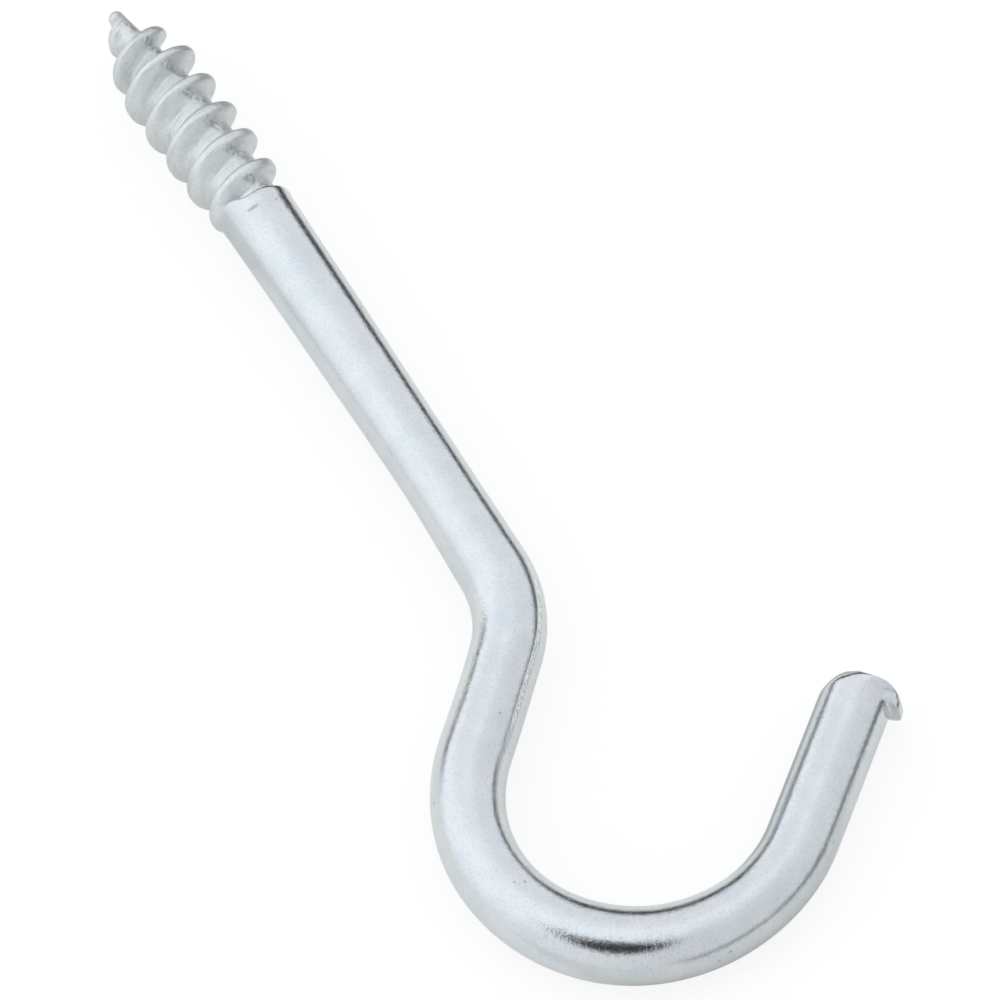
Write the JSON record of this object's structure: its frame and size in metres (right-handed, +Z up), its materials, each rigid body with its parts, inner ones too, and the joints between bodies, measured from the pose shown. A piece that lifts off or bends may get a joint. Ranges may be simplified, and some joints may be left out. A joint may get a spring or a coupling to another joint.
{
  "type": "screw hook",
  "caption": "Round-wire screw hook with a gimlet-pointed wood thread, a plain shank, a cranked open bowl in line with the shank, and a short leg that ends in a sheared lip.",
  "frame": {"origin": "centre of the bounding box's bottom face, on the surface the hook lies on", "axes": "+X along the shank from the thread's point to the bowl, +Y towards the leg's side, +Z up, out of the plane of the hook"},
  "size_m": [0.1244, 0.0468, 0.0092],
  "materials": {
    "zinc_plate": "bright zinc plating on steel wire, satin, with fine speckle and small handling marks"
  },
  "bodies": {
    "root": {"screw_hook": "zinc_plate"}
  },
  "joints": []
}
